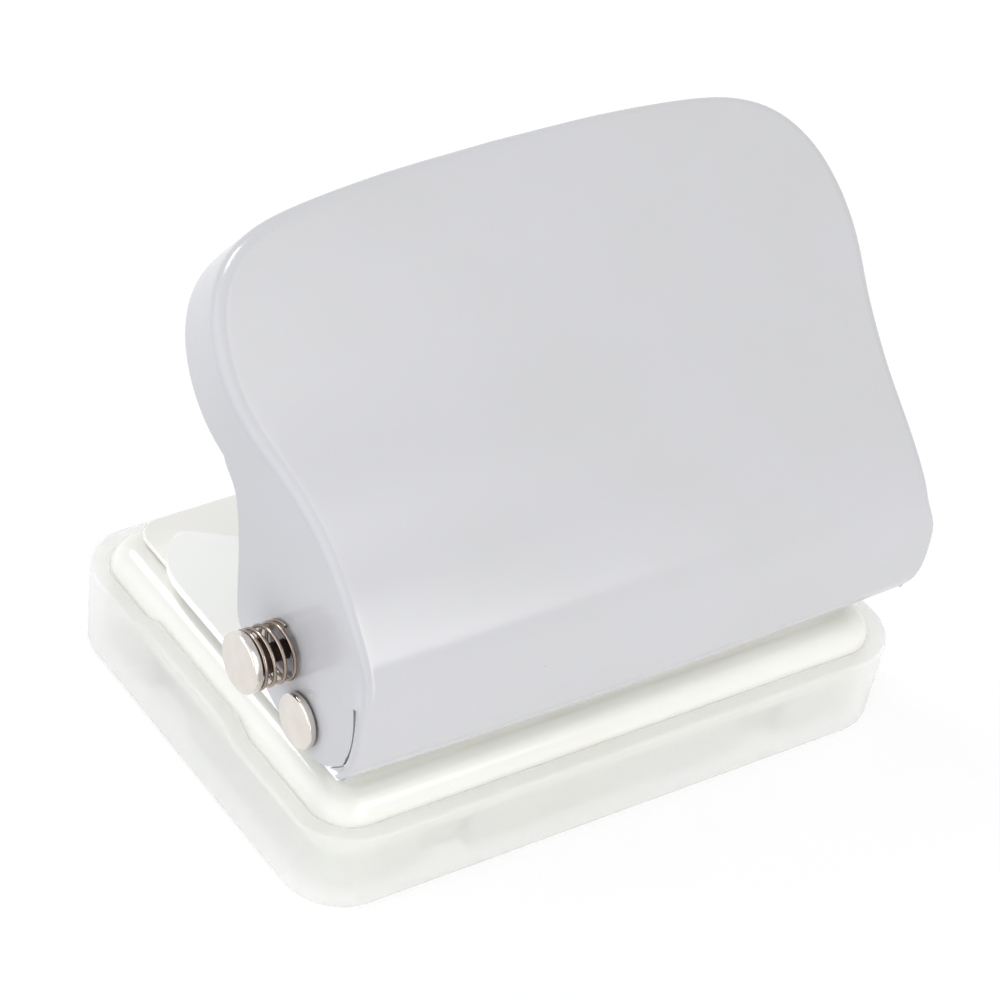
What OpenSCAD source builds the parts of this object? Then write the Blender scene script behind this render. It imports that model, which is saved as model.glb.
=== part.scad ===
// Five-hole punch: chip tray, base, table, punch frame, five punches, handle and lock.
// Millimetres, Z up, X along the row of holes, paper goes in from +Y.
// Origin: middle of the tray's bottom face.

/* [Tray] */
// outside length of the tray at its rim
tray_length = 100; // [98:0.5:104]
// outside width of the tray at its rim
tray_width = 70.4; // [70:0.2:74]
// height of the rim above the floor
tray_height = 13.4; // [12.8:0.1:15]
// corner radius of the rim
tray_corner = 8.9; // [8:0.1:10]
// wall thickness at the rim
tray_wall = 2.2; // [1.8:0.1:2.4]
// thickness of the tray's bottom
tray_floor = 1.6; // [1.2:0.1:2]
// how far each wall leans in towards the bottom
tray_draft = 0.6; // [0:0.1:0.8]
// top of the pads that the base stands on
pad_top = 7.5; // [6.5:0.1:8]
// extra height of the finger lip at each end
lip_rise = 1.4; // [0.5:0.1:1.8]

/* [Base] */
// free space between tray wall and base
base_gap = 0.9; // [0.5:0.1:1.2]
// base top above the tray rim
base_rise = 3.6; // [3.2:0.1:4]
// rounding of the base's top edge
base_edge = 4; // [2.5:0.1:4.5]
// sheet thickness of the base
base_sheet = 1.5; // [1:0.1:1.8]

/* [Plates] */
// thickness of the table plate
table_thick = 1.4; // [1:0.1:1.8]
// height of the paper slot
slot_height = 1.2; // [0.8:0.1:1.6]
// sheet thickness of the punch frame
frame_sheet = 1.4; // [1.2:0.1:1.6]
// paper edge to the middle of the holes
hole_margin = 5.5; // [5:0.1:7]

/* [Punches] */
// from the outside of the handle's flange to the last hole
hole_end = 8.9; // [8.6:0.1:10.6]
// diameter of each hole
hole_size = 5; // [4.5:0.1:5]
// from the pivot to the row of holes
hole_reach = 13.9; // [12.9:0.1:14.9]

/* [Handle] */
// length over the end flanges, low down
handle_length = 93.8; // [93.4:0.1:94.4]
// extra half length of the grip at its widest
handle_flare = 4.4; // [2:0.1:5]
// sheet thickness of the handle
handle_sheet = 1.2; // [1:0.1:1.3]
// depth of the grip's rolled lip
lip_depth = 10.5; // [8:0.1:12]
// from the back of the base to the pivot
pivot_inset = 10.2; // [9.8:0.1:10.6]
// pivot height above the base
pivot_rise = 9.2; // [9:0.1:10]
// full stroke of the handle in degrees
stroke = 30; // [30:0.5:32]

/* [Pins] */
// diameter of the pivot pin's shank
pivot_size = 5; // [4:0.1:5]
// diameter of the pivot pin's head
pivot_head = 8; // [7.5:0.1:8.5]
// diameter of the lock button's head
lock_head = 8.7; // [8.5:0.1:9.2]
// diameter of the lock button's shank
lock_size = 2.8; // [2.4:0.1:2.8]
// diameter of the collar behind the lock button's head
lock_collar = 5.2; // [4.4:0.1:5.6]
// how far the lock button stands off the flange
lock_reach = 5.9; // [5.5:0.1:7]

/* [Springs] */
// wire of the return springs
return_wire = 0.7; // [0.5:0.05:0.8]
// turns of each return spring
return_turns = 6; // [5:1:6]
// wire of the lock spring
lock_wire = 0.5; // [0.4:0.05:0.6]
// turns of the lock spring
lock_turns = 4; // [3:1:4]

/* [Clearances] */
// between pieces that move past each other
move_gap = 0.3; // [0.3:0.05:0.4]
// radial clearance of a shank that turns or slides
run_gap = 0.05; // [0.03:0.01:0.08]
// radial clearance of a piece pressed home
press_gap = 0.01; // [0.01:0.005:0.02]

/* [Hidden] */
smooth = 64;
thin_smooth = 40;
base_top = tray_height + base_rise;
base_inset = tray_wall + base_gap;
base_length = tray_length - 2 * base_inset;
base_width = tray_width - 2 * base_inset;
base_corner = tray_corner - base_inset;
skirt_low = pad_top + move_gap;
base_height = base_top - skirt_low;
table_top = base_top + table_thick;
slot_top = table_top + slot_height;
frame_top = slot_top + frame_sheet;
table_half = base_length / 2 - 4.6;
table_front = base_width / 2 - 2.2;
table_back = base_width / 2 - 5.2;
table_corner = 3.5;
table_foot = 0.6;

flange_out = handle_length / 2;
flange_in = flange_out - handle_sheet;
cheek_out = flange_in - 1.6;
cheek_in = cheek_out - frame_sheet;
plate_half = flange_in - 0.9;
pivot_y = pivot_inset - base_width / 2;
pivot_z = base_top + pivot_rise;
hole_row = pivot_y + hole_reach;
hole_pitch = (flange_out - hole_end) / 2;

punch_r = hole_size / 2;
bush_r = 4;
bush_spigot = punch_r + 1;
bush_rise = 3;
punch_head_r = 3.8;
punch_head_thick = 1.6;
punch_tip = slot_top + 0.5;

bar_r = 2.5;
bar_y = hole_reach - 3.4;
bar_z = 16.6;
punch_top = pivot_z + bar_z - bar_r - move_gap - 0.05;
punch_travel = bar_y * sin(stroke) + bar_z * (1 - cos(stroke)) - 0.03;
spring_low = frame_top + bush_rise;
spring_high = punch_top - punch_head_thick;

lock_y = 6.2;
lock_z = 7.5;
lock_down_y = lock_y * cos(stroke) + lock_z * sin(stroke);
lock_down_z = lock_z * cos(stroke) - lock_y * sin(stroke);
lock_tip_r = lock_size / 2 + 0.3;
lock_tip_low = flange_in - move_gap;
lock_tip_high = cheek_out + move_gap;
lock_hole_r = lock_tip_r + move_gap;
lock_thick = 1.5;
lock_travel = 2.6;

pin_x = [for (i = [-2:2]) i * hole_pitch];
rivet_x = [for (i = [-1.5:1:1.5]) i * hole_pitch];
rivet_y = hole_row - hole_margin - 6.5;
rivet_r = 1.6;
stop_front = hole_row - hole_margin;
frame_back = -base_width / 2 + 3.6;

// points on a smooth curve through the listed points, a given number per span
function bend(a, b, c, d, t) = 0.5 * (2 * b + (c - a) * t + (2 * a - 5 * b + 4 * c - d) * t * t
    + (3 * b - a - 3 * c + d) * t * t * t);
function ends(p) = concat([2 * p[0] - p[1]], p, [2 * p[len(p) - 1] - p[len(p) - 2]]);
function through(p, n) = let (q = ends(p)) concat(
    [for (i = [1:len(q) - 3]) for (k = [0:n - 1]) bend(q[i - 1], q[i], q[i + 1], q[i + 2], k / n)],
    [p[len(p) - 1]]);
// the same curve moved sideways by d, to the right of its direction
function heading(c, i) = c[min(i + 1, len(c) - 1)] - c[max(i - 1, 0)];
function aside(c, d) = [for (i = [0:len(c) - 1]) let (h = heading(c, i))
    c[i] + d * [h[1], -h[0]] / norm(h)];
function back(c) = [for (i = [len(c) - 1:-1:0]) c[i]];

// handle face seen from the end, from the pivot: bottom edge, nose, waist, grip
face_points = [[-10.7, -2], [-12.4, 0.4], [-13.5, 3.2], [-14, 6.5], [-14.1, 10], [-13.8, 13],
    [-13, 15.4], [-11.6, 17.9], [-8.8, 21.1], [-4, 25.6], [3.9, 31.8], [12.9, 37.8], [19.1, 42.4],
    [27.5, 49.3], [37.6, 57.2], [42.4, 60.9]];
face = through(face_points, 4);
face_inner = aside(face, handle_sheet);
grip_tilt = 37.2;
grip_top = 64.7;
// free edge of the end flange and the lip, from the grip down to the nose
lip_end = [42.4, 60.9] + lip_depth * [sin(grip_tilt), -cos(grip_tilt)];
lip_start = [14.2, 38.9] + lip_depth * [sin(grip_tilt), -cos(grip_tilt)];
flange_points = [lip_end, (lip_end + lip_start) / 2, lip_start, [18.8, 26.4], [18.4, 21.5], [18.3, 14],
    [18.2, 7.5], [17.6, 4], [15, 1.2], [11, -1.1], [5.5, -3.5], [0, -4.8], [-4.1, -4.2], [-7.6, -2.9],
    [-10.7, -2]];
flange_all = through(flange_points, 4);
flange_edge = [for (i = [1:len(flange_all) - 2]) flange_all[i]];
// middle of the relief slit beside the front wall
slit_points = [[-10.8, 10.5], [-11.2, 8.8], [-11.5, 6.7], [-11.5, 4.4], [-11.1, 2.3], [-10.2, 0.1],
    [-8.7, -1.8], [-7, -3.6]];
slit = through(slit_points, 3);
slit_wide = 0.6;
// half outline of the sheet laid flat: half length and distance up the grip
wide = flange_out + handle_flare;
outline_points = [[flange_out, -40], [flange_out, 0], [flange_out, 15], [flange_out + 0.6, 22.3],
    [flange_out + 0.4 * handle_flare, 28.4], [flange_out + 0.85 * handle_flare, 36], [wide, 41.2],
    [wide - 0.3, 46.6], [wide - 1.8, 52.3], [wide - 4.8, 57.2], [wide - 9.5, 60.7],
    [wide - 17.1, 62.9], [wide - 32.5, 64.3], [0, grip_top]];
outline_half = through(outline_points, 4);
outline = concat(outline_half, [for (i = [len(outline_half) - 2:-1:0])
    [-outline_half[i][0], outline_half[i][1]]]);
outline_inner = aside(outline, -handle_sheet);

module flat_box(length, width, radius, height) {
    linear_extrude(height) flat_shape(length, width, radius);
}

module flat_shape(length, width, radius) {
    square([length - 2 * radius, width], center = true);
    square([length, width - 2 * radius], center = true);
    for (sx = [-1, 1])
        for (sy = [-1, 1])
            translate([sx * (length / 2 - radius), sy * (width / 2 - radius)])
                circle(radius, $fn = smooth);
}

// solid whose side follows a list of inset and height pairs
module shaped_box(length, width, radius, side) {
    half_x = length / 2 - radius;
    half_y = width / 2 - radius;
    low = side[0][1];
    high = side[len(side) - 1][1];
    for (sx = [-1, 1])
        for (sy = [-1, 1])
            translate([sx * half_x, sy * half_y, 0])
                rotate_extrude($fn = smooth)
                    polygon(concat([[0, low]], [for (p = side) [radius - p[0], p[1]]], [[0, high]]));
    rotate([90, 0, 90])
        linear_extrude(2 * half_x, center = true)
            polygon(concat([for (p = side) [width / 2 - p[0], p[1]]],
                [for (p = back(side)) [p[0] - width / 2, p[1]]]));
    rotate([90, 0, 0])
        linear_extrude(2 * half_y, center = true)
            polygon(concat([for (p = side) [length / 2 - p[0], p[1]]],
                [for (p = back(side)) [p[0] - length / 2, p[1]]]));
}

// solid with upright sides and a rounded top edge
module round_box(length, width, radius, edge, height) {
    half_x = length / 2 - radius;
    half_y = width / 2 - radius;
    for (sx = [-1, 1])
        for (sy = [-1, 1])
            translate([sx * half_x, sy * half_y, 0])
                rotate_extrude($fn = smooth)
                    half_side(radius, edge, height);
    rotate([90, 0, 90])
        linear_extrude(2 * half_x, center = true)
            full_side(width, edge, height);
    rotate([90, 0, 0])
        linear_extrude(2 * half_y, center = true)
            full_side(length, edge, height);
}

module half_side(reach, edge, height) {
    square([reach - edge, height]);
    square([reach, height - edge]);
    translate([reach - edge, height - edge])
        intersection() {
            circle(edge, $fn = smooth);
            square(edge);
        }
}

module full_side(width, edge, height) {
    translate([-width / 2 + edge, 0])
        square([width - 2 * edge, height]);
    translate([-width / 2, 0])
        square([width, height - edge]);
    for (s = [-1, 1])
        translate([s * (width / 2 - edge), height - edge])
            circle(edge, $fn = smooth);
}

// upright shape drawn in Y and Z, spread along X about the middle
module across(length) {
    rotate([90, 0, 90])
        linear_extrude(length, center = true)
            children();
}

// round bar along X between two X positions
module rod_x(x1, x2, r, y, z, n = 48) {
    translate([min(x1, x2), y, z])
        rotate([0, 90, 0])
            cylinder(h = abs(x2 - x1), r = r, $fn = n);
}

// wire spring standing on z = 0: one tube, eight rings to a turn, six sides
rings = 8;
sides = 6;
function coil_mid(k, turns, r, rise) = [r * cos(360 * k / rings), r * sin(360 * k / rings),
    rise * k / (turns * rings)];
function coil_ring(k, turns, r, rise, wire) = let (
    a = 360 * k / rings,
    out = [cos(a), sin(a), 0],
    lean = atan2(rise / turns, 2 * PI * r),
    up = [sin(a) * sin(lean), -cos(a) * sin(lean), cos(lean)])
    [for (j = [0:sides - 1]) coil_mid(k, turns, r, rise)
        + wire / 2 * (cos(360 * j / sides) * out + sin(360 * j / sides) * up)];
function coil_gap(turns, r, rise, wire) = let (last = turns * rings)
    min([for (i = [0:last - rings + 1]) for (j = [i + rings - 1:min(i + rings + 1, last)])
        norm(coil_mid(i, turns, r, rise) - coil_mid(j, turns, r, rise)) - wire]);

module coil(turns, r, height, wire) {
    rise = height - wire;
    last = turns * rings;
    spots = [for (k = [0:last]) each coil_ring(k, turns, r, rise, wire)];
    skin = [for (k = [0:last - 1]) for (j = [0:sides - 1]) each [
        [k * sides + j, (k + 1) * sides + j, k * sides + (j + 1) % sides],
        [k * sides + (j + 1) % sides, (k + 1) * sides + j, (k + 1) * sides + (j + 1) % sides]]];
    cap_a = [for (j = [1:sides - 2]) [0, j, j + 1]];
    cap_b = [for (j = [1:sides - 2]) [last * sides, last * sides + j + 1, last * sides + j]];
    translate([0, 0, wire / 2])
        polyhedron(spots, concat(skin, cap_a, cap_b), convexity = 10);
}

module chip_tray() {
    side = [[tray_draft + 0.8, 0], [tray_draft, 0.8], [0.05, tray_height - 1], [0.35, tray_height - 0.3],
        [1, tray_height]];
    color([0.93, 0.94, 0.95])
    union() {
        difference() {
            shaped_box(tray_length, tray_width, tray_corner, side);
            translate([0, 0, tray_floor])
                flat_box(tray_length - 2 * tray_wall, tray_width - 2 * tray_wall,
                    tray_corner - tray_wall, tray_height);
        }
        for (sx = [-1, 1]) {
            translate([sx * (tray_length / 2 - tray_wall / 2 - 0.3), 3, tray_height - 1.5 + lip_rise / 2])
                cube([tray_wall - 0.6, 22, 3 + lip_rise], center = true);
            translate([sx * (tray_length / 2 - 3.4), tray_width / 2 - 25.5, tray_floor / 2 + pad_top / 2])
                cube([3.6, 10, pad_top - tray_floor + 0.4], center = true);
            for (sy = [-1, 1])
                translate([sx * 26.8, sy * (tray_width / 2 - 3.4), tray_floor / 2 + pad_top / 2])
                    cube([7, 3.6, pad_top - tray_floor], center = true);
        }
    }
}

module base_shell() {
    color([0.95, 0.95, 0.9])
    difference() {
        translate([0, 0, skirt_low])
            round_box(base_length, base_width, base_corner, base_edge, base_height);
        translate([0, 0, skirt_low - 1])
            round_box(base_length - 2 * base_sheet, base_width - 2 * base_sheet,
                base_corner - base_sheet, base_edge - base_sheet, base_height + 1 - base_sheet);
        for (x = pin_x)
            translate([x, hole_row, base_top - 5])
                cylinder(h = 10, r = punch_r + 1.5, $fn = smooth);
        for (x = rivet_x)
            translate([x, rivet_y, base_top - 5])
                cylinder(h = 10, r = rivet_r + press_gap, $fn = thin_smooth);
    }
}

module table_plate() {
    color([0.9, 0.9, 0.87])
    translate([0, (table_front - table_back) / 2, base_top])
        difference() {
            union() {
                flat_box(2 * table_half - 1.6, table_front + table_back - 1.6, table_corner - 0.8,
                    table_thick - 0.1);
                translate([0, 0, table_foot])
                    flat_box(2 * table_half, table_front + table_back, table_corner, table_thick - table_foot);
            }
            translate([0, (table_back - table_front) / 2, 0]) {
                for (x = pin_x)
                    translate([x, hole_row, -1])
                        cylinder(h = 5, r = punch_r + run_gap, $fn = smooth);
                for (x = rivet_x)
                    translate([x, rivet_y, -1])
                        cylinder(h = 5, r = rivet_r + press_gap, $fn = thin_smooth);
            }
        }
}

module paper_stop() {
    stop_back = frame_back + 1.8;
    color([0.8, 0.8, 0.8])
    difference() {
        translate([-cheek_in, stop_back, table_top])
            cube([2 * cheek_in, stop_front - stop_back, slot_height]);
        for (x = rivet_x)
            translate([x, rivet_y, table_top - 1])
                cylinder(h = 5, r = rivet_r + press_gap, $fn = thin_smooth);
    }
}

module frame_rivets() {
    tail = base_top - base_sheet;
    color([0.8, 0.79, 0.77])
    for (x = rivet_x)
        translate([x, rivet_y, 0]) {
            translate([0, 0, tail - 0.9])
                cylinder(h = 0.9, r = rivet_r + 0.9, $fn = thin_smooth);
            translate([0, 0, tail - 0.1])
                cylinder(h = frame_top - tail + 0.2, r = rivet_r, $fn = thin_smooth);
            translate([0, 0, frame_top])
                cylinder(h = 1.1, r1 = rivet_r + 1.2, r2 = rivet_r + 0.4, $fn = thin_smooth);
        }
}

module plate_shape() {
    ear = table_front - 6.45;
    recess = hole_row + 20.8;
    inner = hole_pitch + 1;
    right = [[plate_half, frame_back], [plate_half, ear - 10], [plate_half - 0.3, ear - 7.2],
        [plate_half - 1.3, ear - 4.3], [plate_half - 3.5, ear - 1.4], [plate_half - 5.1, ear - 0.25],
        [plate_half - 6.2, ear], [plate_half - 7.5, ear - 0.5], [inner + 3.4, recess + 0.4],
        [inner, recess]];
    polygon(concat(right, [for (p = back(right)) [-p[0], p[1]]]));
}

module cheek_shape() {
    low = slot_top + 0.2 - pivot_z;
    translate([pivot_y, pivot_z])
        difference() {
            polygon([[frame_back - pivot_y, low], [16, low], [15, 1.5], [13.6, 6.4], [11.2, 8.2], [8.6, 10.5],
                [3, 13], [-2.5, 11.5], [-5.2, 7], [frame_back - pivot_y, 2]]);
            circle(pivot_size / 2 + press_gap, $fn = smooth);
            translate([lock_down_y, lock_down_z])
                circle(lock_hole_r, $fn = smooth);
            translate([lock_y, lock_z])
                circle(lock_hole_r, $fn = smooth);
            translate([lock_y, lock_z])
                rotate(stroke / 2 + 5)
                    translate([-lock_hole_r, 0])
                        square([2 * lock_hole_r, 12]);
        }
}

module punch_frame() {
    tab_z = pivot_z + 1.5;
    tab_reach = pivot_y - 11.1 + handle_sheet + 0.6;
    color([0.94, 0.94, 0.92])
    difference() {
        union() {
            translate([0, 0, slot_top])
                linear_extrude(frame_sheet)
                    plate_shape();
            for (s = [-1, 1])
                translate([s * (cheek_out + cheek_in) / 2, 0, 0])
                    across(frame_sheet)
                        cheek_shape();
            translate([-cheek_in - 0.5, frame_back, slot_top + 0.2])
                cube([2 * cheek_in + 1, frame_sheet, pivot_z + 2 - slot_top - 0.2]);
            for (s = [-1, 1])
                translate([s * 30 - 4, tab_reach, tab_z - frame_sheet])
                    cube([8, frame_back - tab_reach + 0.5, frame_sheet]);
        }
        for (x = pin_x)
            translate([x, hole_row, slot_top - 1])
                cylinder(h = 5, r = bush_spigot + press_gap, $fn = smooth);
        for (x = rivet_x)
            translate([x, rivet_y, slot_top - 1])
                cylinder(h = 5, r = rivet_r + press_gap, $fn = thin_smooth);
    }
}

module guide_bushes() {
    color([0.78, 0.66, 0.4])
    for (x = pin_x)
        translate([x, hole_row, 0])
            difference() {
                union() {
                    translate([0, 0, slot_top])
                        cylinder(h = frame_sheet + 1, r = bush_spigot, $fn = smooth);
                    translate([0, 0, frame_top])
                        cylinder(h = bush_rise, r = bush_r, $fn = smooth);
                }
                translate([0, 0, slot_top - 1])
                    cylinder(h = 10, r = punch_r + run_gap, $fn = smooth);
            }
}

module pivot_pin(side) {
    color([0.86, 0.84, 0.81])
    union() {
        rod_x(side * (flange_out + move_gap), side * (flange_out + move_gap + 1.3), pivot_head / 2,
            pivot_y, pivot_z);
        rod_x(side * (cheek_in - 0.4), side * (flange_out + move_gap + 0.5), pivot_size / 2,
            pivot_y, pivot_z);
    }
}

module pivot_pin_left() {
    pivot_pin(-1);
}

module pivot_pin_right() {
    pivot_pin(1);
}

module pivot_washers() {
    color([0.7, 0.7, 0.7])
    for (s = [-1, 1])
        difference() {
            rod_x(s * cheek_out, s * (flange_in - move_gap), pivot_head / 2, pivot_y, pivot_z);
            rod_x(s * (cheek_out - 1), s * (flange_in + 1), pivot_size / 2 + press_gap, pivot_y, pivot_z);
        }
}

module punch(spot) {
    color([0.8, 0.8, 0.8])
    translate([pin_x[spot], hole_row, 0])
        difference() {
            union() {
                translate([0, 0, punch_tip])
                    cylinder(h = punch_top - punch_tip - 0.5, r = punch_r, $fn = smooth);
                translate([0, 0, punch_top - punch_head_thick])
                    cylinder(h = punch_head_thick, r = punch_head_r, $fn = smooth);
            }
            translate([0, 0, punch_tip - 1.1])
                rotate([0, 45, 0])
                    cube([2.2, 2 * hole_size, 2.2], center = true);
        }
}

module punch_pin_1() {
    punch(0);
}

module punch_pin_2() {
    punch(1);
}

module punch_pin_3() {
    punch(2);
}

module punch_pin_4() {
    punch(3);
}

module punch_pin_5() {
    punch(4);
}

return_r = punch_r + move_gap + 0.05 + return_wire / 2;
return_height = spring_high - spring_low - 0.1;
echo("return spring least gap", coil_gap(return_turns, return_r, return_height - return_wire, return_wire));

module return_spring(spot) {
    color([0.6, 0.6, 0.62])
    translate([pin_x[spot], hole_row, spring_low + 0.05])
        coil(return_turns, return_r, return_height, return_wire);
}

module return_spring_1() {
    return_spring(0);
}

module return_spring_2() {
    return_spring(1);
}

module return_spring_3() {
    return_spring(2);
}

module return_spring_4() {
    return_spring(3);
}

module return_spring_5() {
    return_spring(4);
}

module flat_outline(edge) {
    translate([0, pivot_y, pivot_z])
        rotate([grip_tilt, 0, 0])
            translate([0, 0, -30])
                linear_extrude(70)
                    polygon(edge);
}

module handle_shell() {
    wall_face = [for (p = face) if (p[1] < 14) p];
    wall_inner = [for (i = [0:len(face) - 1]) if (face[i][1] < 14) face_inner[i]];
    color([0.83, 0.83, 0.84])
    difference() {
        union() {
            difference() {
                intersection() {
                    translate([0, pivot_y, pivot_z])
                        across(2 * wide + 4)
                            polygon(concat(face, flange_edge));
                    flat_outline(outline);
                }
                intersection() {
                    translate([0, pivot_y, pivot_z])
                        across(2 * wide + 4)
                            polygon(concat(face_inner, [[90, 60], [90, -40], [-9.2, -40]]));
                    flat_outline(outline_inner);
                }
            }
            translate([0, pivot_y, pivot_z])
                across(2 * flange_out + 2)
                    polygon(concat(wall_face, back(wall_inner)));
        }
        for (s = [-1, 1]) {
            rod_x(s * (flange_in - 1), s * (flange_out + 1), pivot_size / 2 + run_gap, pivot_y, pivot_z);
            translate([s * flange_out, pivot_y, pivot_z])
                across(8)
                    polygon(concat(aside(slit, slit_wide / 2), back(aside(slit, -slit_wide / 2))));
        }
        rod_x(-flange_out - 1, 1 - flange_in, lock_size / 2 + run_gap, pivot_y + lock_y, pivot_z + lock_z);
    }
}

module press_plate() {
    inner = aside(face, handle_sheet);
    under = aside(face, handle_sheet + 1.2);
    picks = [for (i = [0:len(face) - 1]) if (inner[i][0] > -5 && inner[i][0] < 8) i];
    foot = under[picks[len(picks) - 2]];
    run = norm(foot - [bar_y, bar_z]);
    color([0.72, 0.72, 0.73])
    translate([0, pivot_y, pivot_z])
        union() {
            across(2 * cheek_in - 1.8)
                polygon(concat([for (i = picks) inner[i]], [for (i = back(picks)) under[i]]));
            translate([0, bar_y, bar_z])
                rotate([atan2(foot[1] - bar_z, foot[0] - bar_y), 0, 0])
                    translate([0.9 - cheek_in, 0, -0.1])
                        cube([2 * cheek_in - 1.8, run + 0.7, 1.5]);
            rod_x(0.9 - cheek_in, cheek_in - 0.9, bar_r, bar_y, bar_z);
        }
}

module lock_button() {
    out = flange_out + lock_reach;
    y = pivot_y + lock_y;
    z = pivot_z + lock_z;
    color([0.88, 0.86, 0.83])
    union() {
        rod_x(-out - lock_thick, -out, lock_head / 2, y, z);
        rod_x(-out - 0.5, -flange_out - lock_travel - move_gap, lock_collar / 2, y, z);
        rod_x(-out - 0.5, 0.2 - lock_tip_low, lock_size / 2, y, z);
        rod_x(-lock_tip_low, -lock_tip_high, lock_tip_r, y, z);
    }
}

lock_coil_r = lock_head / 2 - 0.2;
lock_coil_height = lock_reach - 0.15;
echo("lock spring least gap", coil_gap(lock_turns, lock_coil_r, lock_coil_height - lock_wire, lock_wire));

module lock_spring() {
    color([0.7, 0.69, 0.67])
    translate([-flange_out - 0.05, pivot_y + lock_y, pivot_z + lock_z])
        rotate([0, -90, 0])
            coil(lock_turns, lock_coil_r, lock_coil_height, lock_wire);
}

echo("punch travel", punch_travel, "pivot", pivot_y, pivot_z, "lock", pivot_y + lock_y, pivot_z + lock_z);
echo("punch top", punch_top, "spring", spring_low, spring_high, "flange", flange_out, flange_in);

chip_tray();
base_shell();
table_plate();
paper_stop();
frame_rivets();
punch_frame();
guide_bushes();
pivot_pin_left();
pivot_pin_right();
pivot_washers();
punch_pin_1();
punch_pin_2();
punch_pin_3();
punch_pin_4();
punch_pin_5();
return_spring_1();
return_spring_2();
return_spring_3();
return_spring_4();
return_spring_5();
handle_shell();
press_plate();
lock_button();
lock_spring();
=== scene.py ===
import math
import bmesh
import bpy
from mathutils import Matrix, Vector


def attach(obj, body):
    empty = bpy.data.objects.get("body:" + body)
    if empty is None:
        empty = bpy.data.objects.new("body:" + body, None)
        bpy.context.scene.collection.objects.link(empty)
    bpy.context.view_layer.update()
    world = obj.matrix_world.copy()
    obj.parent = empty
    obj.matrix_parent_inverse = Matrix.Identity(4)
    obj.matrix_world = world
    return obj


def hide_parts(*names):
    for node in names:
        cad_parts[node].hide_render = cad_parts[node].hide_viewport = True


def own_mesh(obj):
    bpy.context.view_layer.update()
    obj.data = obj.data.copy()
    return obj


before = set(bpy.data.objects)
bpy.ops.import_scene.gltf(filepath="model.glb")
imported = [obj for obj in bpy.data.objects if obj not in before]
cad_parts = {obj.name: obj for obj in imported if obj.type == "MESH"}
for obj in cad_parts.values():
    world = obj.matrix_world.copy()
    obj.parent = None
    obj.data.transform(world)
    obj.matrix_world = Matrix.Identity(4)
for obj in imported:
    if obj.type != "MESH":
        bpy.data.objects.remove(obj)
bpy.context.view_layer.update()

mm = 0.001
slack = 0.1  # mm, near enough when points and faces are picked by their place
upright = 0.9  # share of a direction along Z that counts as upright
scene = bpy.context.scene
scene.view_settings.view_transform = "Standard"
print("frame loaded,", len(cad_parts), "nodes")


# ways of working that every piece shares

def deselectAll():
    if bpy.context.object and bpy.context.object.mode != "OBJECT":
        bpy.ops.object.mode_set(mode="OBJECT")
    bpy.ops.object.select_all(action="DESELECT")


def makeActive(piece):
    deselectAll()
    piece.select_set(True)
    bpy.context.view_layer.objects.active = piece


def nameNewest(name):
    piece = bpy.context.active_object
    piece.name = name
    piece.data.name = name
    return piece


def settle(piece):  # place, turn and scale go into the mesh
    makeActive(piece)
    bpy.ops.object.transform_apply(location=True, rotation=True, scale=True)


def startEdit(piece):
    makeActive(piece)
    bpy.ops.object.mode_set(mode="EDIT")


def endEdit():
    bpy.ops.object.mode_set(mode="OBJECT")


def pick(piece, kind, test):  # test gets an element's middle in mm and its normal or direction
    bpy.ops.mesh.select_mode(type=kind)
    bpy.ops.mesh.select_all(action="DESELECT")
    work = bmesh.from_edit_mesh(piece.data)
    work.normal_update()
    if kind == "FACE":
        for face in work.faces:
            face.select_set(bool(test(face.calc_center_median() / mm, face.normal)))
    elif kind == "EDGE":
        for edge in work.edges:
            start, end = (v.co for v in edge.verts)
            edge.select_set(bool(test((start + end) / (2 * mm), (end - start).normalized())))
    else:
        for point in work.verts:
            point.select_set(bool(test(point.co / mm, point.normal)))
    work.select_flush_mode()
    bmesh.update_edit_mesh(piece.data)


def pickOpenEdges(piece):
    bpy.ops.mesh.select_mode(type="EDGE")
    bpy.ops.mesh.select_all(action="DESELECT")
    work = bmesh.from_edit_mesh(piece.data)
    for edge in work.edges:
        edge.select_set(edge.is_boundary or edge.is_wire)
    bmesh.update_edit_mesh(piece.data)


def facesOutward():
    bpy.ops.mesh.select_all(action="SELECT")
    bpy.ops.mesh.normals_make_consistent(inside=False)


def addBlock(name, size, middle):
    deselectAll()
    bpy.ops.mesh.primitive_cube_add(size=1, location=[v * mm for v in middle],
        scale=[v * mm for v in size])
    piece = nameNewest(name)
    settle(piece)
    return piece


def addShape(name, points, start, depth, alongX):  # drawn in X Y and raised, or in Y Z and spread along X
    deselectAll()
    bpy.ops.mesh.primitive_circle_add(vertices=len(points), fill_type="NGON")
    piece = nameNewest(name)
    for vertex, point in zip(piece.data.vertices, points):
        spot = (start, point[0], point[1]) if alongX else (point[0], point[1], start)
        vertex.co = [v * mm for v in spot]
    startEdit(piece)
    bpy.ops.mesh.select_all(action="SELECT")
    move = (depth * mm, 0, 0) if alongX else (0, 0, depth * mm)
    bpy.ops.mesh.extrude_region_move(TRANSFORM_OT_translate={"value": move})
    facesOutward()
    endEdit()
    return piece


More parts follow.
